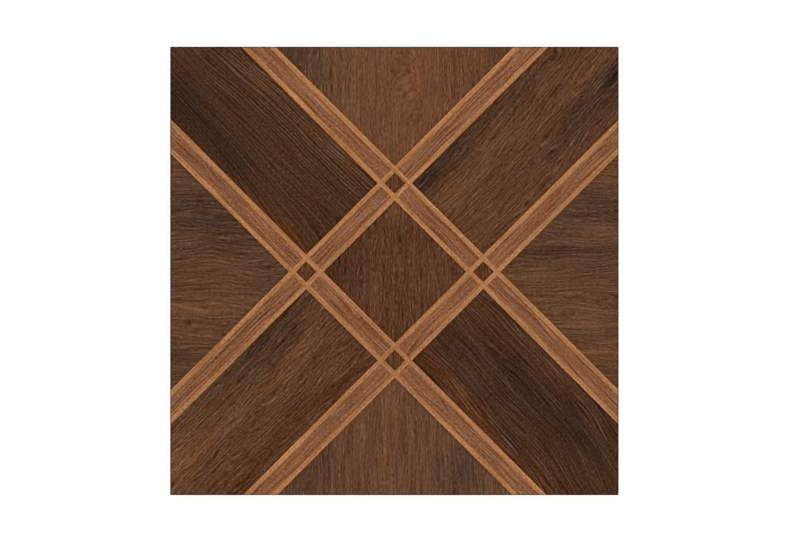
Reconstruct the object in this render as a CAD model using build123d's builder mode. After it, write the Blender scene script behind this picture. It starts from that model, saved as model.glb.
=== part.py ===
"""A square floor tile of pressed porcelain with ground edges, lying face up.

The tile is one fired piece. Its face is flat, for a printed glaze, with a fine bevel along
each edge. Its back is keyed for adhesive: a grid of shallow pockets between ribs, and the
ribs and the plain border are the plane that the tile rests on.

The origin is the centre of the back, +Z points out of the face, and the sides run along X and Y.
"""

import os

from build123d import *

# Body, in millimetres
tile_side = 600.0
tile_thickness = 9.0  # from the rib tops to the face
face_bevel = 0.6  # ground along the face's edges
back_bevel = 1.0  # pressed along the back's edges

# Keyed back
pocket_side = 42.0  # at the mouth of a pocket
pocket_depth = 0.9
pocket_corner_radius = 5.0
pocket_draft_angle = 35.0  # degrees that a pocket's walls lean away from upright
rib_width = 6.0  # between neighbouring pockets, at the rib top

# The grid holds as many pockets as leave a border at least one rib wide, and it is centred,
# so the border takes up what is left.
pocket_pitch = pocket_side + rib_width
pockets_in_a_row = int((tile_side - rib_width) // pocket_pitch)

# The shape that one stud of the press leaves in the back: a rounded square with leaning walls
with BuildPart() as pocket:
    with BuildSketch(Plane.XY):
        RectangleRounded(pocket_side, pocket_side, pocket_corner_radius)
    extrude(amount=pocket_depth, taper=pocket_draft_angle)

with BuildPart() as floor_tile:
    with BuildSketch(Plane.XY):
        Rectangle(tile_side, tile_side)
    extrude(amount=tile_thickness)

    face_edges = floor_tile.faces().sort_by(Axis.Z)[-1].edges()
    chamfer(face_edges, length=face_bevel)
    back_edges = floor_tile.faces().sort_by(Axis.Z)[0].edges()
    chamfer(back_edges, length=back_bevel)

    with GridLocations(pocket_pitch, pocket_pitch, pockets_in_a_row, pockets_in_a_row):
        add(pocket.part, mode=Mode.SUBTRACT)

floor_tile.part.label = "floor_tile"

os.makedirs("parts", exist_ok=True)
export_step(floor_tile.part, "parts/floor_tile.step")

border_width = (tile_side - pockets_in_a_row * pocket_pitch + rib_width) / 2
print(f"floor_tile: {pockets_in_a_row} x {pockets_in_a_row} pockets, border {border_width:.1f} mm wide")
print(f"floor_tile: volume {floor_tile.part.volume / 1000:.1f} cm3, valid {floor_tile.part.is_valid}")
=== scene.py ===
# %% [markdown]
# A wood-look floor tile, dressed in Blender
#
# The real object is one square of pressed and fired porcelain. Its face is printed to look like a
# parquet panel: dark boards between lighter strips that cross on the diagonal. The packed model
# holds the tile's true shape, so this lesson starts from that shape and adds what it lacks: the
# print, the sheen, the fine relief of the grain, and the fired body on the edges and the back.

# %% Load the packed tile
import math
from functools import partial

import bmesh
import bpy
from mathutils import Matrix, Vector
from mathutils.geometry import delaunay_2d_cdt


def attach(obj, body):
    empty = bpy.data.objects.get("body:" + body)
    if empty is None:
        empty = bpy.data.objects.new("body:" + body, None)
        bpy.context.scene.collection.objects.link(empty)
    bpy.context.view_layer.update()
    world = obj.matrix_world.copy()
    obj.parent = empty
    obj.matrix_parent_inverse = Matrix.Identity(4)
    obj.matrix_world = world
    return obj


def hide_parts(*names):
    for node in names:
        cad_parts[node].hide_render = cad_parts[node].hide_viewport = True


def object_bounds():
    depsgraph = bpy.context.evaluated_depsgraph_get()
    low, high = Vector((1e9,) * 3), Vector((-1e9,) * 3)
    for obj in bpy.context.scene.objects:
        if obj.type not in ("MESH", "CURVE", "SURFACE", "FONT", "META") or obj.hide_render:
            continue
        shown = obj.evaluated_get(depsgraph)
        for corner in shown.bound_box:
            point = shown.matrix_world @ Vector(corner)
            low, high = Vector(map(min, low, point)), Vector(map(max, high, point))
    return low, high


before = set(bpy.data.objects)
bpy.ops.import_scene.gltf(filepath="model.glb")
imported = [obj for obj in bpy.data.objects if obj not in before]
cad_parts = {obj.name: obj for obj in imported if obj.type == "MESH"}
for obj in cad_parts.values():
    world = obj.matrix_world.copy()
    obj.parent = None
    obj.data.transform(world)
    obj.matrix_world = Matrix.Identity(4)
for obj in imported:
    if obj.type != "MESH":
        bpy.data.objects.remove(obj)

MM = 0.001  # one millimetre in Blender's metres
cad_low, cad_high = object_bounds()
face_height = cad_high.z
print("tile from the packed model, in mm:", [round(side / MM, 2) for side in cad_high - cad_low])

# %% [markdown]
# Formulas instead of node noodles
#
# A procedural finish is arithmetic: add some noise to a coordinate, multiply, compare. Wiring that
# by hand takes dozens of nodes that nobody can read later. Here one small class wraps a node's
# output, and Python's own operators add the nodes, so a finish reads as a formula. Numbers go
# through Math nodes, and anything with a colour or a direction in it through Vector Math.

# %% A wire that does arithmetic
class Wire:
    """An output of a node. Arithmetic on it adds nodes to the tree it belongs to."""

    def __init__(self, tree, socket=None):
        self.tree = tree
        self.socket = socket

    def node(self, kind, settings=None, sockets=None, output=0):
        """Adds a node of any kind: its settings first, then values or wires for its sockets."""
        made = self.tree.nodes.new(kind)
        for name, value in (settings or {}).items():
            setattr(made, name, value)
        for name, value in (sockets or {}).items():
            if isinstance(value, Wire):
                self.tree.links.new(value.socket, made.inputs[name])
            else:
                made.inputs[name].default_value = value
        return Wire(self.tree, made.outputs[output] if made.outputs else None)

    def math(self, operation, *values):
        """One step of arithmetic, on vectors as soon as one of the values is a colour or a vector."""
        kind = "ShaderNodeMath"
        for value in values:
            if isinstance(value, tuple) or isinstance(value, Wire) and value.socket.type != "VALUE":
                kind = "ShaderNodeVectorMath"
        if kind == "ShaderNodeVectorMath":
            values = [(value,) * 3 if isinstance(value, (int, float)) else value for value in values]
        return self.node(kind, {"operation": operation}, dict(enumerate(values)))

    def __add__(self, other):
        return self.math("ADD", self, other)

    def __sub__(self, other):
        return self.math("SUBTRACT", self, other)

    def __mul__(self, other):
        return self.math("MULTIPLY", self, other)

    def __truediv__(self, other):
        return self.math("DIVIDE", self, other)

    def __radd__(self, other):
        return self.math("ADD", other, self)

    def __rsub__(self, other):
        return self.math("SUBTRACT", other, self)

    def __rmul__(self, other):
        return self.math("MULTIPLY", other, self)

    def __rpow__(self, other):
        return self.math("POWER", other, self)

    def __abs__(self):
        return self.math("ABSOLUTE", self)


print("operators with a reflected form:", [name for name in vars(Wire) if name.startswith("__r")])

# %% [markdown]
# Steps, noise and picture levels
#
# A few helpers carry the whole print. A soft step fades one thing into another. Noise in long thin
# cells is what wood fibres are made of here. Colours are thought of in the 0 to 255 levels of a
# picture, because that is how a print is judged by eye, and a Gamma node turns the finished sum
# into the linear light that a shader wants.

# %% Helpers for the print
NOISE_MEAN = 0.5
NOISE_SPREAD = 7.0  # what brings Blender's noise, less its mean, to a spread of about 1
FULL_LEVEL = 255  # white in a picture
CURVE_OFFSET = 0.055  # offset and power of the curve from picture levels to linear light
CURVE_POWER = 2.4


def step(value, low, high):
    """A soft step from 0 at low to 1 at high."""
    return value.node("ShaderNodeMapRange", {"interpolation_type": "SMOOTHSTEP"},
                      {"Value": value, "From Min": low, "From Max": high})


def noise(flow, cell_length, cell_width, seed, detail=0.0):
    """Noise with a mean of 0 and a spread of about 1, in cells stretched along the flow's first axis."""
    place = flow * (1 / cell_length, 1 / cell_width, 1.0) + (seed, -seed, 0.0)
    value = place.node("ShaderNodeTexNoise", {"noise_dimensions": "2D"},
                       {"Vector": place, "Scale": 1.0, "Detail": detail})
    return (value - NOISE_MEAN) * NOISE_SPREAD


def light(levels):
    """Picture levels, as a wire, turned into linear light."""
    share = (levels / FULL_LEVEL + CURVE_OFFSET) / (1 + CURVE_OFFSET)
    return share.node("ShaderNodeGamma", sockets={"Color": share, "Gamma": CURVE_POWER})


def coordinate(vector, axis):
    """One of a vector's three numbers, as a wire."""
    return vector.node("ShaderNodeSeparateXYZ", sockets={"Vector": vector}, output=axis)


print("picture levels up to", FULL_LEVEL, "become light by a power of", CURVE_POWER)

# %% [markdown]
# The lattice
#
# Four strips cross on the diagonal, two each way, and leave nine boards between them. Each strip
# has a band in the middle and a lighter border on both sides, and a small dark square sits in each
# crossing. The whole lattice is measured along the two diagonals: rise runs to the upper right,
# fall to the lower right. The same sizes cut the mesh and place the shading along the joints.

# %% Lattice sizes, in millimetres
PRINT_CENTRE = (0.56, -1.1)  # the print sits a little off the tile's centre
STRIP_MIDDLE = 83.8  # from the print's centre to the middle of a strip
STRIP_HALF = 16.15
BAND_HALF = 9.9
RISE = Vector((math.sqrt(0.5), math.sqrt(0.5), 0))
FALL = Vector((math.sqrt(0.5), -math.sqrt(0.5), 0))


def measure(place, direction, start=PRINT_CENTRE):
    """How far a place on the face lies from a start along a direction, in millimetres."""
    reach = place.node("ShaderNodeVectorMath", {"operation": "DOT_PRODUCT"},
                       {0: place, 1: direction / MM}, output="Value")
    return reach - direction.xy.dot(Vector(start))


def off_strip(place, direction):
    """Distance from the middle of the nearer strip that crosses a direction, in millimetres."""
    return abs(abs(measure(place, direction)) - STRIP_MIDDLE)


def piece_at(x, y):
    """The name of the printed piece at a point of the face, in millimetres from the tile's centre."""
    spot = Vector((x - PRINT_CENTRE[0], y - PRINT_CENTRE[1], 0))
    rise, fall = spot.dot(RISE), spot.dot(FALL)
    off_rise, off_fall = abs(abs(rise) - STRIP_MIDDLE), abs(abs(fall) - STRIP_MIDDLE)
    if off_rise < BAND_HALF and off_fall < BAND_HALF:
        return "square"
    if BAND_HALF < off_rise < STRIP_HALF:
        return "border_falling"
    if BAND_HALF < off_fall < STRIP_HALF:
        return "border_rising"
    if off_rise < BAND_HALF:
        return "band_falling"
    if off_fall < BAND_HALF:
        return "band_rising"
    if abs(rise) < STRIP_MIDDLE and abs(fall) < STRIP_MIDDLE:
        return "centre"
    if abs(fall) < STRIP_MIDDLE:
        return "upper_right_arm" if rise > 0 else "lower_left_arm"
    if abs(rise) < STRIP_MIDDLE:
        return "lower_right_arm" if fall > 0 else "upper_left_arm"
    if rise > 0:
        return "right" if fall > 0 else "top"
    return "bottom" if fall > 0 else "left"


print("board width between strips:", round(2 * (STRIP_MIDDLE - STRIP_HALF), 1), "mm")

# %% [markdown]
# Printed wood
#
# Wood is combed: fine dark lines a few millimetres apart, which drift, fork and end. A sine across
# the grain gives the spacing, and noise in its phase gives the drifting. Over that lie broader
# streaks and short fibres. The lines follow the trunk: they bow, lean on one side of a board, hook
# near its end, or run round an eye, where the saw has cut through a hump. Broad stains are listed
# one by one, because a viewer remembers them, and they change the colour, while the fine lines only
# change the light.

# %% Where a fibre runs
LAYER_SEEDS = {  # each layer of noise starts at its own place, so that no two share their cells
    "wander": 0.0, "ripple": 17.3, "drift": 31.7, "dash": 39.4, "streaks": 43.3,
    "fibres": 53.1, "pores": 61.9, "threads": 67.3, "bands": 75.9, "hue": 99.1,
}


def layer(flow, board, name, length, width, detail=0.0):
    """One layer of a board's noise, in cells of a length and a width in millimetres."""
    return noise(flow, length, width, board["seed"] + LAYER_SEEDS[name], detail)


def grain_ways(degrees):
    """The directions along and across a grain that is turned from the tile's X axis."""
    turn = math.radians(degrees)
    return Vector((math.cos(turn), math.sin(turn), 0)), Vector((-math.sin(turn), math.cos(turn), 0))


def on_grain(board, x, y):
    """A point of the face as its place along and across a board's grain."""
    spot = Vector((x, y)) - Vector(board["about"])
    spot.rotate(Matrix.Rotation(-math.radians(board["grain"]), 2))
    return spot


def stain(straight, centre, length, width):
    """A soft patch, 1 in its middle, drawn out along the grain."""
    far = (straight - (*centre, 0.0)) / (length, width, 1.0)
    reach = far.node("ShaderNodeVectorMath", {"operation": "DOT_PRODUCT"}, {0: far, 1: far}, "Value")
    return (1 / math.e) ** reach


def bent(straight, along, across, board):
    """The place across the grain once the fibres wander, bow, lean, hook and run round eyes."""
    fibre = across + layer(straight, board, "wander", length=150, width=60) * board["wander"]
    fibre = fibre + layer(straight, board, "ripple", length=40, width=14) * board["ripple"]
    if "bow" in board:
        bend, vertex = board["bow"]
        fibre = fibre - (along - vertex) * (along - vertex) * (bend / 2)
    if "lean" in board:
        slope, none, full = board["lean"]
        fibre = fibre - along * step(across, none, full) * slope
    if "hook" in board:
        slope, start, end = board["hook"]
        fibre = fibre - (along - (start + end) / 2) * step(along, start, end) * slope
    for x, y, length, width, height in board["eyes"]:
        fibre = fibre + stain(straight, on_grain(board, x, y), length, width) * height
    return fibre


print("layers of noise in the wood:", ", ".join(LAYER_SEEDS))

# %% Lines of the grain
DRIFT_WIDTH = 2.2  # how many lines share their drift
STREAK_LENGTH = 1.5  # how long a streak is, against the length of a line


def combed(flow, board):
    """Fine lines across the flow that drift, and break into dashes as far as they aren't steady."""
    spacing = board["spacing"]
    drift = layer(flow, board, "drift", length=board["length"], width=spacing * DRIFT_WIDTH)
    phase = coordinate(flow, "Y") * (math.tau / spacing) + drift * board["drift"]
    dashes = layer(flow, board, "dash", length=board["dash"], width=spacing)
    return phase.math("SINE", phase) * (board["steady"] + dashes * board["broken"])


def grain_lines(place, board):
    """The place along and across the grain, the same bent with the fibres, and the grain's lines."""
    along, across = [measure(place, way, board["about"]) for way in grain_ways(board["grain"])]
    straight = along.node("ShaderNodeCombineXYZ", sockets={"X": along, "Y": across})
    fibre = bent(straight, along, across, board)
    flow = along.node("ShaderNodeCombineXYZ", sockets={"X": along, "Y": fibre})
    lines = combed(flow, board) * board["comb"]
    for gain, low, high in board["lively"]:
        lines = lines * (1 + step(across, low, high) * gain)
    streaks = layer(flow, board, "streaks", length=board["length"] * STREAK_LENGTH, width=3.0)
    return straight, flow, (lines + streaks * board["streaks"]) * board["strength"]


print("a grain at 45 degrees runs along", [round(part, 3) for part in grain_ways(45)[0]])

# %% The wood formula
STAIN_COLOUR = (1.50, 0.95, 0.55)  # how a stain's levels are shared by red, green and blue
WARM_COLOUR = (0.5, -0.3, -0.8)  # what one level of warmth does to red, green and blue
PORE_LENGTH = 0.8  # how long a pore is, against a dash
PORE_STEP = (0.8, 1.8)  # where in its noise a pore starts and where it is darkest
THREAD_STEP = (1.1, 1.9)  # the same for a pale thread


def wood(place, board):
    """The picture levels of printed wood, and its fine grain alone."""
    straight, flow, lines = grain_lines(place, board)
    pores = layer(flow, board, "pores", length=board["dash"] * PORE_LENGTH, width=1.7)
    pores = step(pores, *PORE_STEP)
    threads = step(layer(flow, board, "threads", length=80, width=1.3), *THREAD_STEP)
    fibres = layer(flow, board, "fibres", length=board["fibre_length"], width=1.5)
    specks = fibres * board["fibres"] - pores * board["pores"] + threads * board["threads"]
    grain = lines + specks * board["strength"]
    tone = layer(flow, board, "bands", length=80, width=8.0, detail=1.0) * board["bands"]
    warmth = layer(flow, board, "hue", *board["hue_cells"]) * board["hue"]
    for x, y, length, width, lift, warm in board["stains"]:
        patch = stain(straight, on_grain(board, x, y), length, width)
        tone = tone + patch * lift
        if warm:
            warmth = warmth + patch * warm
    return tone * STAIN_COLOUR + warmth * WARM_COLOUR + grain + board["mean"], grain


print("a stain of 10 levels, in red, green and blue:", [round(10 * share, 1) for share in STAIN_COLOUR])

# %% Values that all wood shares
COMMON = {  # lengths in millimetres, strengths in picture levels
    "about": (0, 0),  # the point that along and across are measured from
    "spacing": 4.8,  # from one line to the next
    "comb": 7.0,  # strength of the lines
    "length": 60.0,  # over which a line drifts
    "drift": 1.8,  # how far it drifts, in radians of the sine
    "dash": 24.0,  # length of the dashes that a line breaks into
    "steady": 1.2,  # the part of a line that never breaks
    "broken": 0.9,  # the part that comes and goes with the dashes
    "wander": 1.2,  # how far the fibres bend over the board
    "ripple": 0.25,  # how far they bend over a few centimetres
    "streaks": 3.8,  # strength of the broader streaks
    "fibres": 5.3,  # strength of the short fibres
    "fibre_length": 4.0,
    "pores": 8.0,  # how much darker a pore is
    "threads": 0.0,  # how much lighter a long pale thread is
    "strength": 1.0,  # a factor on the whole fine grain
    "bands": 1.6,  # strength of broad bands of tone
    "hue": 0.8,  # strength of patches that are warmer or cooler
    "hue_cells": (40, 12),  # length and width of those patches
    "lively": [],  # gains on the lines, each with the two places across the grain where it comes in
    "eyes": [],
    "stains": [],
}
print("values that all wood shares:", ", ".join(COMMON))

# %% [markdown]
# The boards
#
# Each board has its own brown, grain direction and stains, as if cut from its own plank. A stain is
# x and y from the tile's centre, its half length and half width, all in millimetres, then how many
# picture levels it lifts the tone, and its warmth. An eye has a height in place of those two. A bow
# is a curvature and the place along the board where it turns. A lean and a hook are a slope and the
# two places, across or along the board, between which it comes in.

# %% Board values
BOARDS = {
    "centre": {
        "mean": (89, 57, 37), "grain": 90, "seed": 11.0, "dash": 12.0, "ripple": 0.4, "steady": 0.8,
        "broken": 0.8, "streaks": 1.8, "comb": 7.8, "fibres": 6.0, "fibre_length": 5.5,
        "stains": [(-85, 0, 35, 22, -13, 2), (-50, 25, 45, 12, -6, 0), (1, 84, 25, 12, 9, -1),
                   (-27, -37, 35, 8, 8, 0), (24, 28, 40, 8, 5, 0), (4, 45, 9, 7, -8, 0),
                   (8, -43, 14, 6, -5, 0), (55, 0, 40, 14, 4, 0), (-8, 10, 30, 8, 2, 0)],
    },
    "upper_right_arm": {
        "mean": (91, 60, 40), "grain": 46, "seed": 23.0, "about": (167, 167), "bow": (0.0006, 0.0),
        "lean": (0.1, -35.0, 60.0), "length": 42.0, "dash": 16.0, "pores": 12.0,
        "eyes": [(219, 287, 16, 11, 8)],
        "stains": [(38, 122, 45, 15, -17, -2), (92, 178, 55, 15, -12, -3), (168, 252, 40, 14, -7, -1),
                   (295, 263, 24, 13, -25, -1), (255, 228, 40, 16, -8, -1), (230, 182, 50, 14, -6, -3),
                   (76, 98, 35, 11, 11, 0), (135, 170, 50, 12, 8, -2), (242, 246, 45, 12, 5, 1),
                   (275, 288, 40, 14, 3, 1), (130, 72, 55, 20, 6, 0),
                   (128, 140, 45, 8, 5, 0), (275, 215, 35, 12, -5, 0), (185, 189, 30, 14, 2, 0),
                   (217, 286, 10, 7, -7, 0)],
    },
    "lower_left_arm": {
        "mean": (93, 61, 40), "grain": 45, "seed": 37.0, "about": (-167, -167), "pores": 12.0,
        "length": 45.0, "dash": 15.0, "strength": 1.1,
        "stains": [(-132, -50, 40, 9, -10, -3), (-184, -98, 45, 10, -15, -1), (-232, -146, 40, 10, -4, -3),
                   (-152, -96, 50, 14, -8, -1), (-205, -148, 50, 14, -3, -1),
                   (-112, -95, 50, 12, 4, 0), (-153, -142, 45, 13, 8, 0), (-215, -195, 45, 14, 5, 0),
                   (-290, -258, 40, 20, 14, 0), (-250, -228, 40, 12, 5, 1), (-205, -286, 45, 14, -10, 8),
                   (-152, -222, 50, 14, -9, 6), (-92, -168, 45, 14, -8, 6), (-48, -124, 35, 14, -6, 5),
                   (-205, -212, 35, 10, -5, 0), (-270, -182, 45, 10, 1, -5)],
    },
    "lower_right_arm": {
        "mean": (70, 44, 28), "grain": -47, "seed": 41.0, "about": (167, -167), "bow": (-0.0003, -50.0),
        "hook": (-0.15, 30.0, 125.0), "eyes": [(252, -198, 38, 9, 7)], "length": 80.0, "dash": 34.0,
        "comb": 4.9, "streaks": 2.0, "pores": 6.0, "threads": 19.0,
        "lively": [(1.0, -15.0, -50.0), (0.8, 20.0, 55.0)],
        "stains": [(118, -50, 35, 14, 7, 1), (200, -118, 60, 12, 9, 1), (85, -158, 55, 12, 8, 2),
                   (45, -108, 30, 12, 3, 4), (116, -202, 110, 9, 3, 7), (168, -150, 60, 22, -6, -1),
                   (242, -214, 52, 20, -8, -1), (75, -88, 35, 12, -5, -1), (205, -280, 50, 14, 3, 2)],
    },
    "upper_left_arm": {
        "mean": (72, 47, 30), "grain": -43, "seed": 59.0, "about": (-167, 167), "lean": (-0.19, 20.0, -75.0),
        "spacing": 4.15, "length": 65.0, "dash": 22.0, "drift": 1.2, "steady": 1.5, "broken": 0.45,
        "comb": 4.9, "pores": 0.0, "lively": [(1.5, 0.0, 45.0)],
        "stains": [(-294, 232, 56, 28, -12, 1), (-238, 170, 60, 24, -7, 0), (-200, 130, 40, 12, -4, 0),
                   (-95, 176, 60, 16, 11, -1), (-190, 264, 60, 18, 4, 0), (-150, 165, 70, 12, 2, 0),
                   (-138, 50, 32, 10, 7, 9), (-180, 98, 25, 9, 4, 4), (-110, 62, 35, 14, 1, 0),
                   (-165, 250, 70, 9, 3, 5), (-60, 148, 45, 12, 2, 2)],
    },
    "top": {
        "mean": (108, 71, 48), "grain": 90, "seed": 61.0, "about": (0, 230), "dash": 12.0, "spacing": 5.2,
        "comb": 4.4, "ripple": 0.3, "steady": 0.8, "streaks": 2.2, "fibres": 4.8, "fibre_length": 5.0,
        "lively": [(0.7, 35.0, 75.0), (0.7, -35.0, -75.0)], "eyes": [(31, 256, 55, 21, 23)],
        "stains": [(-135, 288, 60, 24, -18, -3), (-100, 245, 60, 16, -7, -2), (-80, 240, 90, 45, 0, -4),
                   (141, 294, 30, 20, -11, 2), (112, 270, 35, 14, -3, 2), (-6, 270, 60, 14, 4, 0),
                   (34, 262, 50, 16, 4, 4), (-45, 220, 50, 10, 3, 0), (10, 172, 40, 18, 3, 1),
                   (80, 265, 50, 20, -2, 2), (82, 245, 25, 9, -3, 0)],
    },
    "bottom": {
        "mean": (99, 67, 47), "grain": 90, "seed": 73.0, "about": (0, -230), "dash": 11.0, "spacing": 5.2,
        "comb": 5.6, "ripple": 0.3, "strength": 0.84, "fibre_length": 5.0,
        "stains": [(-122, -278, 45, 26, -11, 0), (-92, -245, 40, 12, -7, 0), (-6, -180, 40, 14, 8, 0),
                   (-10, -240, 60, 12, 5, 1), (-45, -222, 50, 8, 3, 0), (48, -240, 40, 14, 4, 0),
                   (94, -272, 40, 20, -10, -3), (62, -268, 35, 10, -5, -3)],
    },
    "left": {
        "mean": (91, 62, 43), "grain": 2, "seed": 83.0, "about": (-230, 0), "dash": 14.0, "spacing": 5.5,
        "wander": 3.0, "ripple": 0.5, "bands": 2.2, "strength": 0.87,
        "stains": [(-275, 95, 60, 14, -8, -2), (-225, 68, 60, 14, -9, -2), (-215, 42, 70, 9, -7, -1),
                   (-280, 60, 50, 12, -5, -1), (-275, -52, 50, 16, 9, 1), (-215, -46, 55, 14, 6, 1),
                   (-260, -88, 45, 12, 5, 1), (-285, -8, 60, 10, 4, 1), (-294, -118, 30, 12, -8, -2),
                   (-190, -10, 40, 8, 2, 1)],
    },
    "right": {
        "mean": (94, 64, 45), "grain": 0, "seed": 97.0, "about": (230, 0), "dash": 12.0, "spacing": 5.2,
        "comb": 6.2, "wander": 2.4, "ripple": 0.4, "bands": 2.4, "strength": 0.9,
        "stains": [(258, 92, 60, 12, -8, -3), (278, 72, 50, 9, -8, -2), (205, 24, 40, 10, -6, 1),
                   (258, 26, 60, 7, -9, -1), (280, 50, 40, 6, 5, -1), (255, -68, 35, 14, 9, -2),
                   (215, -12, 45, 10, 3, 1), (272, -112, 35, 14, 6, 4), (292, 132, 20, 12, 2, 5),
                   (255, -25, 60, 8, 3, 0), (280, -42, 25, 8, 3, 0), (228, -62, 25, 8, 5, 0),
                   (150, 22, 20, 12, -9, 0), (236, 56, 55, 10, 0, -4)],
    },
    "square": {"mean": (90, 58, 40), "grain": 90, "seed": 101.0, "dash": 12.0},
}
stain_count = sum(len(board.get("stains", [])) for board in BOARDS.values())
print(len(BOARDS), "kinds of board with", stain_count, "stains")

# %% [markdown]
# From levels to a finish
#
# Every printed piece ends in the same kind of material: the print as base colour, a satin glaze
# whose roughness follows the grain, and a bump of a few hundredths of a millimetre, because the
# press leaves the pores a little lower than the wood between them.

# %% A printed finish
SHEEN = 0.0032  # light that the glaze's sheen adds to every colour, so the print is that much darker
DARKEST = (0.002, 0.001, 0.001)  # in linear light
GLAZE_ROUGHNESS = 0.42
GRAIN_POLISH = 0.004  # how much smoother one picture level of grain makes the glaze
GLAZE_SPECULAR = 0.12
BUMP_DEPTH = 0.006 * MM  # height of one picture level of grain
MARGIN_START = 3.1  # the print darkens between these two distances from the tile's edge
MARGIN_END = 0.5
MARGIN_LEVELS = (-33.0, -22.0, -14.0)
tile_half = (cad_high - cad_low).x / 2 / MM
finishes = {}


def edge_gap(place):
    """Distance from the tile's edge on a place of the face, in millimetres."""
    sides = [tile_half - abs(measure(place, Vector(way), (0, 0))) for way in ((1, 0, 0), (0, 1, 0))]
    return place.math("MINIMUM", *sides)


def new_finish(name):
    """A fresh material, with a wire to start from and its Principled shader."""
    material = bpy.data.materials.new(name)
    material.use_nodes = True
    return material, Wire(material.node_tree), material.node_tree.nodes["Principled BSDF"]


def connect(shader, name, wire):
    """Feeds a wire into one of the shader's sockets."""
    wire.tree.links.new(wire.socket, shader.inputs[name])


def bump(height, depth):
    """A Bump node, from a height and the depth that one unit of it stands for."""
    return height.node("ShaderNodeBump", sockets={"Height": height, "Distance": depth})


def print_finish(name, values, shading):
    """The finish of one kind of printed piece. The shading adds levels along the piece's joints."""
    material, start, shader = new_finish(f"printed_{name}")
    place = start.node("ShaderNodeTexCoord", output="Object")
    levels, grain = wood(place, {**COMMON, **values})
    margin = step(edge_gap(place), MARGIN_START, MARGIN_END)
    colour = light(levels + shading(place) + margin * MARGIN_LEVELS) - SHEEN
    connect(shader, "Base Color", colour.math("MAXIMUM", colour, DARKEST))
    connect(shader, "Roughness", GLAZE_ROUGHNESS - grain * GRAIN_POLISH)
    connect(shader, "Normal", bump(grain, BUMP_DEPTH))
    shader.inputs["Specular IOR Level"].default_value = GLAZE_SPECULAR
    finishes[name] = material


print("one level of grain is", BUMP_DEPTH / MM, "mm of bump")

# %% [markdown]
# Joints
#
# Along the strips a board is darker and warmer, as if finish had gathered in the joint. The fringe
# is about four millimetres wide and strongest at the joint itself. The small squares have it on
# all four sides.

# %% Board finishes
JOINT_WIDTH = 4.5
JOINT_LEVELS = (-5.0, -12.0, -22.0)
SQUARE_LEVELS = (-3.0, -13.0, -26.0)


def board_shading(place):
    """Darker and warmer levels along a board's joints."""
    rise, fall = off_strip(place, RISE), off_strip(place, FALL)
    gap = rise.math("MINIMUM", rise, fall) - STRIP_HALF
    return (1 - step(gap, 0.0, JOINT_WIDTH)) * JOINT_LEVELS


def square_shading(place):
    """The same round a small square."""
    rise, fall = off_strip(place, RISE), off_strip(place, FALL)
    gap = BAND_HALF - rise.math("MAXIMUM", rise, fall)
    return (1 - step(gap, 0.0, JOINT_WIDTH)) * SQUARE_LEVELS


for name, board in BOARDS.items():
    print_finish(name, board, square_shading if name == "square" else board_shading)
print("board finishes:", ", ".join(finishes))

# %% [markdown]
# Strips
#
# A strip's band is a lighter brown with long dark lines. Its edges and its ends turn orange, and
# the borders are tan with a pale outer edge. Bands and borders run along their strip, so each comes
# in a rising and a falling kind.

# %% Strip values
BAND_COMMON = {
    "comb": 6.0, "spacing": 4.6, "dash": 60.0, "streaks": 4.4, "fibres": 6.0, "pores": 16.0,
    "strength": 1.1, "bands": 3.0, "hue": 2.4, "hue_cells": (14, 6), "wander": 0.6,
}
BORDER_COMMON = {
    "comb": 3.4, "streaks": 4.4, "fibres": 7.0, "pores": 4.0, "bands": 3.4, "hue": 4.0,
    "hue_cells": (7, 3), "wander": 0.3,
}
STRIPS = {
    "band_falling": {
        **BAND_COMMON, "mean": (134, 89, 61), "grain": -45, "seed": 113.0,
        "stains": [(-95, 213, 80, 12, 5, 0), (-268, 149, 30, 12, -5, 0), (-45, -74, 30, 12, 4, 0),
                   (90, -208, 40, 12, -4, 0)],
    },
    "band_rising": {
        **BAND_COMMON, "mean": (135, 90, 61), "grain": 45, "seed": 127.0,
        "stains": [(60, -60, 55, 12, 6, 1), (-215, -98, 70, 12, -4, 0), (-11, -131, 25, 12, -6, 0),
                   (40, 157, 25, 12, -4, 0)],
    },
    "border_falling": {
        **BORDER_COMMON, "mean": (168, 116, 75), "grain": -45, "seed": 131.0,
        "stains": [(-55, 172, 45, 20, 8, 0), (120, -4, 40, 20, 6, 0), (240, -122, 55, 20, -7, 0),
                   (15, -135, 50, 20, -9, 0), (142, -260, 35, 20, 6, 0), (-214, 95, 25, 20, -4, 0),
                   (-60, 197, 70, 6, 5, 0)],
    },
    "border_rising": {
        **BORDER_COMMON, "mean": (168, 116, 75), "grain": 45, "seed": 139.0,
        "stains": [(-218, -100, 65, 20, -11, 0), (-28, -148, 38, 20, -11, 0), (46, -74, 22, 20, -8, 0),
                   (-140, -260, 38, 20, 9, 0), (28, 145, 38, 20, 8, 0), (200, 80, 40, 20, 5, 0),
                   (268, 148, 22, 20, -8, 0), (97, 214, 22, 20, 5, 0)],
    },
}
print("strip pieces:", ", ".join(STRIPS))

# %% Strip finishes
BAND_EDGE = 4.5  # width of the orange along a band
BAND_END = 4.0  # and at its ends
BAND_LEVELS = (2.0, -6.0, -14.0)
PALE_EDGE = (3.0, 0.6)  # a border pales between these two distances from its outer edge
PALE_LEVELS = (3.0, 6.0, 10.0)
CORNER_REACH = (2.0, 4.0)  # a crossing's orange fades between these two distances from its middle
CORNER_LEVELS = (4.0, -2.0, -9.0)


def band_shading(place, across, along):
    """Orange along a band's two edges and at its ends."""
    edge = step(off_strip(place, across), BAND_HALF - BAND_EDGE, BAND_HALF)
    end = 1 - step(off_strip(place, along) - STRIP_HALF, 0.0, BAND_END)
    return edge.math("MAXIMUM", edge, end) * BAND_LEVELS


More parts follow.
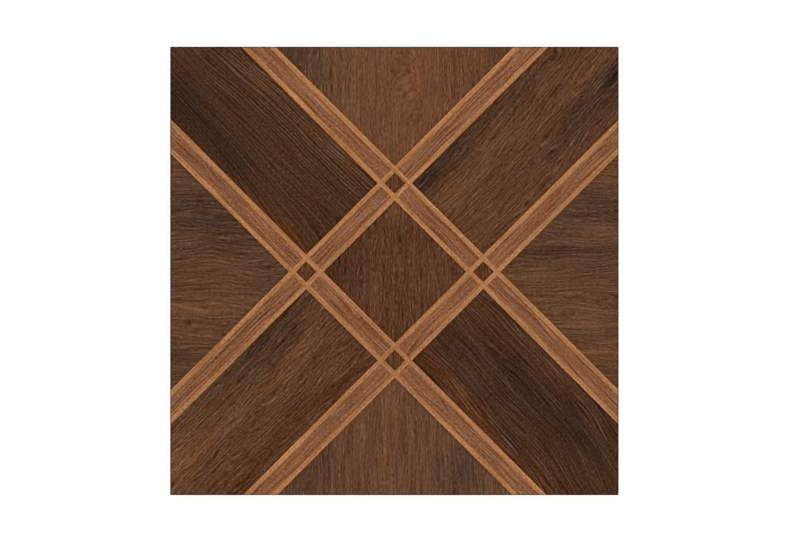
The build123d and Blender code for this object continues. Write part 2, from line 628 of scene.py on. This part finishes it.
def border_shading(place, across, along):
    """A pale outer edge on a border, and orange where two borders cross."""
    outer = step(off_strip(place, across), *[STRIP_HALF - gap for gap in PALE_EDGE])
    border_middle = (BAND_HALF + STRIP_HALF) / 2
    corner = 1 - step(abs(off_strip(place, along) - border_middle), *CORNER_REACH)
    return outer * PALE_LEVELS + corner * CORNER_LEVELS


for name, strip in STRIPS.items():
    across, along = (RISE, FALL) if "falling" in name else (FALL, RISE)
    shading = band_shading if "band" in name else border_shading
    print_finish(name, strip, partial(shading, across=across, along=along))
print("printed finishes so far:", len(finishes))

# %% [markdown]
# The fired body
#
# Under the print the tile is plain greige porcelain, and it shows on the sides and the back. After
# firing the sides are ground square, which leaves fine lines along them. At the top of a side the
# layers show as on a cut cake: body, a pale undercoat, then the dark glaze. The height above the
# back picks the layer, so the lines stay level all the way round.

# %% Ground sides
BODY = (186.0, 171.0, 149.0)
UNDERCOAT = (219.0, 211.0, 197.0)
# the glaze layer's colour; on the arris it is partly painted shade along the tile's outline
GLAZE = (58.0, 38.0, 27.0)
GLAZE_BOTTOM = 0.75  # depth under the face, in millimetres
GLAZE_BLUR = 0.05
UNDERCOAT_BOTTOM = 1.15
UNDERCOAT_BLUR = 0.04
LAYER_WOBBLE = 0.03
SIDE_ROUGHNESS = 0.72
SCRATCH_ROUGHNESS = 0.03
SCRATCH_DEPTH = 0.012 * MM
SCRATCH_LEVELS = 3.5  # how far each kind of mark changes the tone, in picture levels
SPECKLE_LEVELS = 5.0
CLOUD_LEVELS = 3.0


def body_place(start):
    """The place on the tile, in millimetres."""
    return start.node("ShaderNodeTexCoord", output="Object") / MM


def body_finish(shader, levels, roughness, relief, depth):
    """Feeds the levels, the roughness and the relief of a body finish into its shader."""
    connect(shader, "Base Color", light(levels))
    connect(shader, "Roughness", roughness)
    connect(shader, "Normal", bump(relief, depth))


finishes["side"], start, shader = new_finish("ground_side")
spot = body_place(start)
x, y, height = [coordinate(spot, axis) for axis in "XYZ"]
ground = x.node("ShaderNodeCombineXYZ", sockets={"X": x + y, "Y": height})
scratches = noise(ground, cell_length=60, cell_width=0.3, seed=151.0)
speckle = noise(ground, cell_length=0.8, cell_width=0.8, seed=157.0)
wobble = noise(ground, cell_length=9, cell_width=30, seed=163.0)
clouds = noise(ground, cell_length=40, cell_width=8, seed=167.0)
depth = face_height / MM - height + wobble * LAYER_WOBBLE
levels = scratches * SCRATCH_LEVELS + speckle * SPECKLE_LEVELS + clouds * CLOUD_LEVELS + BODY
undercoat = step(depth, UNDERCOAT_BOTTOM + UNDERCOAT_BLUR, UNDERCOAT_BOTTOM - UNDERCOAT_BLUR)
glaze = step(depth, GLAZE_BOTTOM + GLAZE_BLUR, GLAZE_BOTTOM - GLAZE_BLUR)
levels = levels + (UNDERCOAT - levels) * undercoat
levels = levels + (GLAZE - levels) * glaze
roughness = SIDE_ROUGHNESS + scratches * SCRATCH_ROUGHNESS
body_finish(shader, levels, roughness, scratches + speckle, SCRATCH_DEPTH)
print("layers at the top of a side, in mm under the face:", GLAZE_BOTTOM, UNDERCOAT_BOTTOM)

# %% [markdown]
# Back and arris
# The back keeps the texture of the press and never sees a polish. White kiln dust, which stops the
# tile from sticking to the rollers, stays on the ribs in patches and misses the pockets. The arris
# is the narrow slope round the face, in the dark glaze: partly the glaze's own colour, partly
# painted shade that darkens the tile's outline.

# %% Pressed back and glazed arris
DUST = (228.0, 223.0, 214.0)
DUST_PATCHES = (-0.9, 1.3)  # where in its noise the dust starts and where it is thickest
DUST_COVER = 0.8
DUST_ROUGHNESS = 0.12
RIB_REACH = 0.35  # how far from the floor a surface still touches the rollers, in millimetres
RIB_BLUR = 0.2
BACK_ROUGHNESS = 0.78
PEEL_DEPTH = 0.03 * MM
PEEL_LEVELS = 2.5
GRIT_LEVELS = 4.0
GRIT_RELIEF = 0.4  # how high the grit stands, against the peel of the press
FRAY = 0.25  # how far the peel frays the patches of dust
ARRIS_ROUGHNESS = 0.45
RUN_DEPTH = 0.02 * MM
RUN_LEVELS = 5.0
RUN_POLISH = 0.04

finishes["back"], start, shader = new_finish("pressed_back")
spot = body_place(start)
peel = noise(spot, cell_length=1.6, cell_width=1.6, seed=173.0, detail=1.0)
grit = noise(spot, cell_length=0.9, cell_width=0.9, seed=179.0)
patches = noise(spot, cell_length=70, cell_width=70, seed=181.0, detail=3.0) + peel * FRAY
clouds = noise(spot, cell_length=110, cell_width=110, seed=191.0, detail=1.0)
touched = step(coordinate(spot, "Z"), RIB_REACH + RIB_BLUR, RIB_REACH - RIB_BLUR)
dust = touched * step(patches, *DUST_PATCHES) * DUST_COVER
levels = peel * PEEL_LEVELS + grit * GRIT_LEVELS + clouds * CLOUD_LEVELS + BODY
levels = levels + (DUST - levels) * dust
roughness = BACK_ROUGHNESS + dust * DUST_ROUGHNESS
body_finish(shader, levels, roughness, peel + grit * GRIT_RELIEF, PEEL_DEPTH)

# painted shade: the arris's dark glaze also stands for the shade along the tile's outline
finishes["arris"], start, shader = new_finish("glazed_arris")
run = noise(body_place(start), cell_length=5, cell_width=5, seed=193.0, detail=1.0)
body_finish(shader, run * RUN_LEVELS + GLAZE, ARRIS_ROUGHNESS - run * RUN_POLISH, run, RUN_DEPTH)
shader.inputs["Specular IOR Level"].default_value = GLAZE_SPECULAR
print("finishes in all:", len(finishes))

# %% [markdown]
# Sawing the face
#
# Each printed piece needs its own material, so the face is cut along the lattice. Bisect Plane does
# that, as a saw would: it splits the faces it is given along one line. Many lines go faster when
# the middle one goes first and each half is then sawn on its own.

# %% Cut along the lattice
TOUCH = 0.001 * MM  # points nearer than this are one point


def saw(shell, faces, direction, places):
    """Splits flat faces across a direction at each place, the middle one first."""
    if not places or not faces:
        return faces
    middle = len(places) // 2
    edges = {edge for face in faces for edge in face.edges}
    corners = {corner for edge in edges for corner in edge.verts}
    cut = bmesh.ops.bisect_plane(shell, geom=[*corners, *edges, *faces], dist=TOUCH,
                                 plane_co=direction * places[middle], plane_no=direction)
    below, above = [], []
    for piece in cut["geom"]:
        if isinstance(piece, bmesh.types.BMFace):
            side = piece.calc_center_median().dot(direction) < places[middle]
            (below if side else above).append(piece)
    return saw(shell, below, direction, places[:middle]) + saw(shell, above, direction, places[middle + 1:])


shell = bmesh.new()
shell.from_mesh(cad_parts["floor_tile"].data)
bmesh.ops.remove_doubles(shell, verts=shell.verts, dist=TOUCH)
face = [polygon for polygon in shell.faces if polygon.calc_center_median().z > face_height - 10 * TOUCH]
face = bmesh.ops.dissolve_faces(shell, faces=face)["region"]
for direction in (RISE, FALL):
    middle = direction.xy.dot(Vector(PRINT_CENTRE))
    lines = [middle + side * (STRIP_MIDDLE + half) for side in (-1, 1)
             for half in (-STRIP_HALF, -BAND_HALF, BAND_HALF, STRIP_HALF)]
    face = saw(shell, face, direction, [line * MM for line in sorted(lines)])
print("printed pieces:", len(face))

# %% [markdown]
# Room for the grain
#
# The grain is pressed into the face as well as printed on it, and relief needs points to move. An
# even grid would waste most of them, because along the grain the relief changes slowly. So each
# piece is filled with points in rows that follow its own grain, close across it and wide apart
# along it, and a triangulation joins them. The joints are divided first, so that the pieces on
# both sides share every corner and the face stays one skin.

# %% Divide the joints
JOINT_STEP = 3.0

joints = {edge for piece in face for edge in piece.edges}
for joint in joints:
    count = math.ceil(joint.calc_length() / MM / JOINT_STEP)
    for left in range(count, 1, -1):
        joint, corner = bmesh.utils.edge_split(joint, joint.verts[0], 1 - 1 / left)
print(len(joints), "joints and outer edges, divided about every", JOINT_STEP, "mm")

# %% Points in rows
ROW_STEP = 1.1
POINT_STEP = 6.0
CLEAR = 0.7  # no point lies nearer to a joint or to the face's edge
face_half = max(corner.co.x for piece in face for corner in piece.verts) / MM


def inside(point, name):
    """Whether a point is well inside the kind of piece with this name."""
    spot = point - Vector((*PRINT_CENTRE, 0))
    for way in (RISE, FALL):
        off = abs(abs(spot.dot(way)) - STRIP_MIDDLE)
        if min(abs(off - BAND_HALF), abs(off - STRIP_HALF)) < CLEAR:
            return False
    return max(abs(point.x), abs(point.y)) < face_half - CLEAR and piece_at(point.x, point.y) == name


def rows(piece, name, grain_way, across_way):
    """Points inside a piece, in rows along its grain, in millimetres."""
    reach = [[corner.co.dot(way) / MM for corner in piece.verts] for way in (grain_way, across_way)]
    (start, end), (low, high) = [(min(values), max(values)) for values in reach]
    points = []
    for row in range(1, math.ceil((high - low) / ROW_STEP)):
        for number in range(1, math.ceil((end - start) / POINT_STEP)):
            point = grain_way * (start + number * POINT_STEP) + across_way * (low + row * ROW_STEP)
            if inside(point, name):
                points.append(point.xy)
    return points


print("the face reaches", round(face_half, 2), "mm from the middle, and rows lie", ROW_STEP, "mm apart")

# %% Fill each piece along its grain
KEEP_INSIDE = 1  # the kind of triangulation that keeps only what lies inside the outline
SAME_POINT = 1e-4  # points nearer than this many millimetres become one

slots = list(finishes)
printed = {**BOARDS, **STRIPS}
skin = []
for piece in face:
    spot = piece.calc_center_median_weighted()
    name = piece_at(spot.x / MM, spot.y / MM)
    points = rows(piece, name, *grain_ways(printed[name]["grain"]))
    corners = list(piece.verts)
    outline = [corner.co.xy / MM for corner in corners]
    places, _, triangles, sources, _, _ = delaunay_2d_cdt(
        outline + points, [], [range(len(outline))], KEEP_INSIDE, SAME_POINT)
    joined = []
    for place, source in zip(places, sources):
        old = min(source) < len(corners)
        joined.append(corners[min(source)] if old else shell.verts.new((*(place * MM), face_height)))
    for triangle in triangles:
        part = shell.faces.new([joined[number] for number in triangle])
        part.material_index = slots.index(name)
        skin.append(part)
    shell.faces.remove(piece)
shell.normal_update()
print("triangles on the face:", len(skin))

# %% [markdown]
# The rest of the tile
#
# Sides, back and arris are told apart by the way they face. For a bake, the tile needs a flat map
# of the whole of it: the face takes most of it, the back a smaller square, and the four sides a
# strip each.

# %% Slots and the flat map
FACE_SHARE = 0.72  # of the map's width
BACK_SHARE = 0.26
STRIP_SHARE = 0.05
STRIP_FILL = 0.9  # of a strip's height, which leaves a gap to the next one
MARGIN = 0.005
SLOPE = 0.3  # a normal with more than this of up or down in it isn't a side's

for polygon in set(shell.faces) - set(skin):
    part = "arris" if polygon.normal.z > SLOPE else "back" if polygon.normal.z < -SLOPE else "side"
    polygon.material_index = slots.index(part)
flat_map = shell.loops.layers.uv.new("OFBake")
tile_size = (cad_high - cad_low).x
for polygon in shell.faces:
    part = slots[polygon.material_index]
    for loop in polygon.loops:
        x, y = ((loop.vert.co - cad_low) / tile_size).xy
        if part == "side":
            faces_x = abs(polygon.normal.x) > abs(polygon.normal.y)
            row = 2 * faces_x + (polygon.normal.x + polygon.normal.y > 0)
            u = (y if faces_x else x) * FACE_SHARE
            v = STRIP_SHARE * (row + STRIP_FILL * loop.vert.co.z / face_height)
        elif part == "back":
            u, v = 1 - 2 * MARGIN - x * BACK_SHARE, 1 - 2 * MARGIN - y * BACK_SHARE
        else:
            u, v = x * FACE_SHARE, 1 - 2 * MARGIN - FACE_SHARE + y * FACE_SHARE
        loop[flat_map].uv = (u + MARGIN, v + MARGIN)
mesh = bpy.data.meshes.new("printed_tile")
shell.to_mesh(mesh)
shell.free()
for name in slots:
    mesh.materials.append(finishes[name])
tile = bpy.data.objects.new("printed_tile", mesh)
bpy.context.scene.collection.objects.link(tile)
print("printed_tile before the relief:", len(mesh.polygons), "polygons")

# %% [markdown]
# Pressed grain
#
# The same formula that prints the dark lines now presses them down, so relief and print agree line
# for line. Shader maths and Geometry Nodes share their Math and Noise nodes, which is why the wires
# from above work here unchanged. Nothing rises above the face, and the relief fades out at joints
# and at the tile's edge, where the pieces have to meet.

# %% A press for one kind of piece
RELIEF = 0.2 * MM
PRESSED_LEVELS = (-2.0, -16.0)  # the press starts at the first level of the grain and is full at the second
JOINT_FADE = (0.9, 2.8)  # distances from a joint where the relief starts and is full, in millimetres
EDGE_FADE = (1.0, 3.5)  # the same from the tile's edge


def joint_gap(place):
    """Distance to the nearest line of the lattice, in millimetres."""
    gap = None
    for direction in (RISE, FALL):
        for half in (BAND_HALF, STRIP_HALF):
            line = abs(off_strip(place, direction) - half)
            gap = line if gap is None else gap.math("MINIMUM", gap, line)
    return gap


def press_grain(name, values):
    """Adds the modifier that presses one kind of piece's dark lines into the face."""
    tree = bpy.data.node_groups.new(f"pressed_{name}", "GeometryNodeTree")
    for way in ("INPUT", "OUTPUT"):
        tree.interface.new_socket("Geometry", in_out=way, socket_type="NodeSocketGeometry")
    start = Wire(tree)
    place = start.node("GeometryNodeInputPosition")
    *_, lines = grain_lines(place, {**COMMON, **values})
    free = step(joint_gap(place), *JOINT_FADE) * step(edge_gap(place), *EDGE_FADE)
    drop = step(lines, *PRESSED_LEVELS) * free * -RELIEF
    pressed = start.node("GeometryNodeSetPosition", sockets={
        "Geometry": start.node("NodeGroupInput"),
        "Selection": start.node("GeometryNodeMaterialSelection", sockets={"Material": finishes[name]}),
        "Offset": start.node("ShaderNodeCombineXYZ", sockets={"Z": drop}),
    })
    start.node("NodeGroupOutput", sockets={"Geometry": pressed})
    tile.modifiers.new(tree.name, "NODES").node_group = tree


print("the press goes", RELIEF / MM, "mm deep at most")

# %% Press the grain with Geometry Nodes
SHARP_ANGLE = math.radians(30)

for name, values in printed.items():
    press_grain(name, values)
depsgraph = bpy.context.evaluated_depsgraph_get()
pressed = bpy.data.meshes.new_from_object(
    tile.evaluated_get(depsgraph), preserve_all_data_layers=True, depsgraph=depsgraph)
tile.modifiers.clear()
tile.data = pressed
pressed.set_sharp_from_angle(angle=SHARP_ANGLE)
for polygon in pressed.polygons:
    polygon.use_smooth = slots[polygon.material_index] not in ("side", "back")
depths = [(face_height - point.co.z) / MM for point in pressed.vertices]
depths = [depth for depth in depths if depth < 2 * RELIEF / MM]
print("relief, in mm: deepest", round(max(depths), 3), "mean", round(sum(depths) / len(depths), 3))
print("triangles:", sum(len(polygon.vertices) - 2 for polygon in pressed.polygons))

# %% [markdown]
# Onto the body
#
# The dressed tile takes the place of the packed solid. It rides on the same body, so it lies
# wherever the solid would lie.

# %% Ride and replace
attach(tile, "root")
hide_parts("floor_tile")
print("printed_tile stands in for floor_tile")

# %% [markdown]
# Floor
#
# The tile lies on plain white paper. Paper lit at the tile's level would come out light grey, so
# the camera, and whatever reflects the floor, sees it with a little added glow. The tile still
# casts its shadow, and the glow lights nothing. From below the paper is clear and lets a lamp's
# light through, so that the back of the tile can be looked at too. It lies a hair under the tile,
# so that the two never mix.

# %% White floor
FLOOR_GREY = 0.8
FLOOR_GLOW = 0.4
FLOOR_DROP = 0.1 * MM
FLOOR_RADIUS = 40.0
WHITE = (1.0, 1.0, 1.0, 1.0)

floor_mesh = bpy.data.meshes.new("studio_floor")
disc = bmesh.new()
bmesh.ops.create_circle(disc, cap_ends=True, segments=64, radius=FLOOR_RADIUS)
disc.to_mesh(floor_mesh)
disc.free()
floor = bpy.data.objects.new("studio_floor", floor_mesh)
floor.location.z = cad_low.z - FLOOR_DROP
bpy.context.scene.collection.objects.link(floor)
material, start, shader = new_finish("studio_white")
shader.inputs["Base Color"].default_value = (FLOOR_GREY, FLOOR_GREY, FLOOR_GREY, 1.0)
shader.inputs["Roughness"].default_value = 1.0
shader.inputs["Specular IOR Level"].default_value = 0.0
paper = Wire(start.tree, shader.outputs["BSDF"])
glow = start.node("ShaderNodeEmission", sockets={"Color": WHITE, "Strength": FLOOR_GLOW})
bright = start.node("ShaderNodeAddShader", sockets={0: paper, 1: glow})
seen = start.node("ShaderNodeLightPath", output="Is Camera Ray")
for ray in ("Is Glossy Ray", "Is Transmission Ray"):
    seen = seen.math("MAXIMUM", seen, start.node("ShaderNodeLightPath", output=ray))
white = start.node("ShaderNodeMixShader", sockets={0: seen, 1: paper, 2: bright})
unseen = start.node("ShaderNodeNewGeometry", output="Backfacing")
unseen = unseen.math("MAXIMUM", unseen, start.node("ShaderNodeLightPath", output="Is Shadow Ray"))
clear = start.node("ShaderNodeBsdfTransparent")
white = start.node("ShaderNodeMixShader", sockets={0: unseen, 1: white, 2: clear})
connect(start.tree.nodes["Material Output"], "Surface", white)
floor_mesh.materials.append(material)
print("floor of radius", FLOOR_RADIUS, "m")

# %% [markdown]
# Light
#
# Four soft boxes stand at the corners, low enough to leave no glare for a camera that looks straight
# down. The world adds light from the walls and none from above, for the same reason: a satin glaze
# seen from the top would mirror a bright ceiling and turn milky. A fifth box under the floor lights
# the back.

# %% Soft boxes and walls
WALL_LIGHT = 1.6
LAMP_DISTANCE = 2.2
LAMP_POWER = 16.7
LAMP_RISE = 0.7  # height for one metre outwards
LAMP_SIZE = 1.2
HORIZON = (-0.01, 0.0)  # the walls end here, so that no light of theirs comes from below

scene = bpy.context.scene
scene.view_settings.view_transform = "Standard"
world = bpy.data.worlds.new("studio")
scene.world = world
world.use_nodes = True
sky = world.node_tree.nodes["Background"]
sky.inputs["Color"].default_value = WHITE
outward = Wire(world.node_tree).node("ShaderNodeTexCoord", output="Generated")
upward = coordinate(outward, "Z")
level = 1 - abs(upward)
connect(sky, "Strength", level * level * step(upward, *HORIZON) * WALL_LIGHT)

corners = [math.radians(45 + 90 * number) for number in range(4)]
boxes = [Vector((math.cos(turn), math.sin(turn), LAMP_RISE)) for turn in corners] + [Vector((0, 0, -1))]
for number, way in enumerate(boxes):
    lamp = bpy.data.lights.new(f"softbox_{number + 1}", "AREA")
    lamp.energy = LAMP_POWER
    lamp.size = LAMP_SIZE
    stand = bpy.data.objects.new(lamp.name, lamp)
    stand.location = way.normalized() * LAMP_DISTANCE
    stand.rotation_euler = way.to_track_quat("Z", "Y").to_euler()
    scene.collection.objects.link(stand)
print(len(boxes), "soft boxes of", LAMP_POWER, "W")

# %% [markdown]
# Camera
#
# The picture was taken straight from above, with the tile a little left of and below the middle.
# A long lens keeps the sides out of sight. The camera moves sideways to frame the tile, which keeps
# its shift at zero.

# %% Camera above the tile
PICTURE_WIDTH = 1070.0 * MM  # what the picture spans at the height of the face
PICTURE_CENTRE = (7.49 * MM, 5.95 * MM)

camera = bpy.data.cameras.new("camera")
camera.lens = 85.0
camera.sensor_width = 36.0
tripod = bpy.data.objects.new("camera", camera)
tripod.location = (*PICTURE_CENTRE, face_height + PICTURE_WIDTH * camera.lens / camera.sensor_width)
scene.collection.objects.link(tripod)
scene.camera = tripod
print("camera", round(tripod.location.z, 3), "m above the floor")

# %% [markdown]
# Sizes
#
# The dressed tile keeps the packed model's size.
